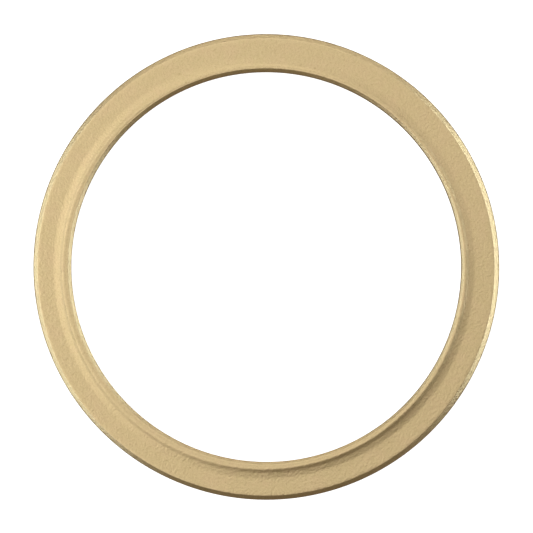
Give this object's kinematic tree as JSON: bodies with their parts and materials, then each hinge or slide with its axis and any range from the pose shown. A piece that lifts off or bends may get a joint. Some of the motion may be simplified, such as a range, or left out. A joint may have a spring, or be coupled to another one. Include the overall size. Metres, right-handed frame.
{
  "type": "flat washer",
  "caption": "Thin turned brass ring washer with a low raised lip round its bore, chamfered edges and a plain flat underside.",
  "frame": {"origin": "on the bore's axis, in the plane of the flat underside", "axes": "+Z along the bore's axis, from the underside towards the raised lip; X and Y are any two radii"},
  "size_m": [0.0502, 0.0502, 0.0022],
  "materials": {
    "washer": "fine matt, lightly blasted after turning"
  },
  "bodies": {
    "root": {"washer": "washer"}
  },
  "joints": []
}
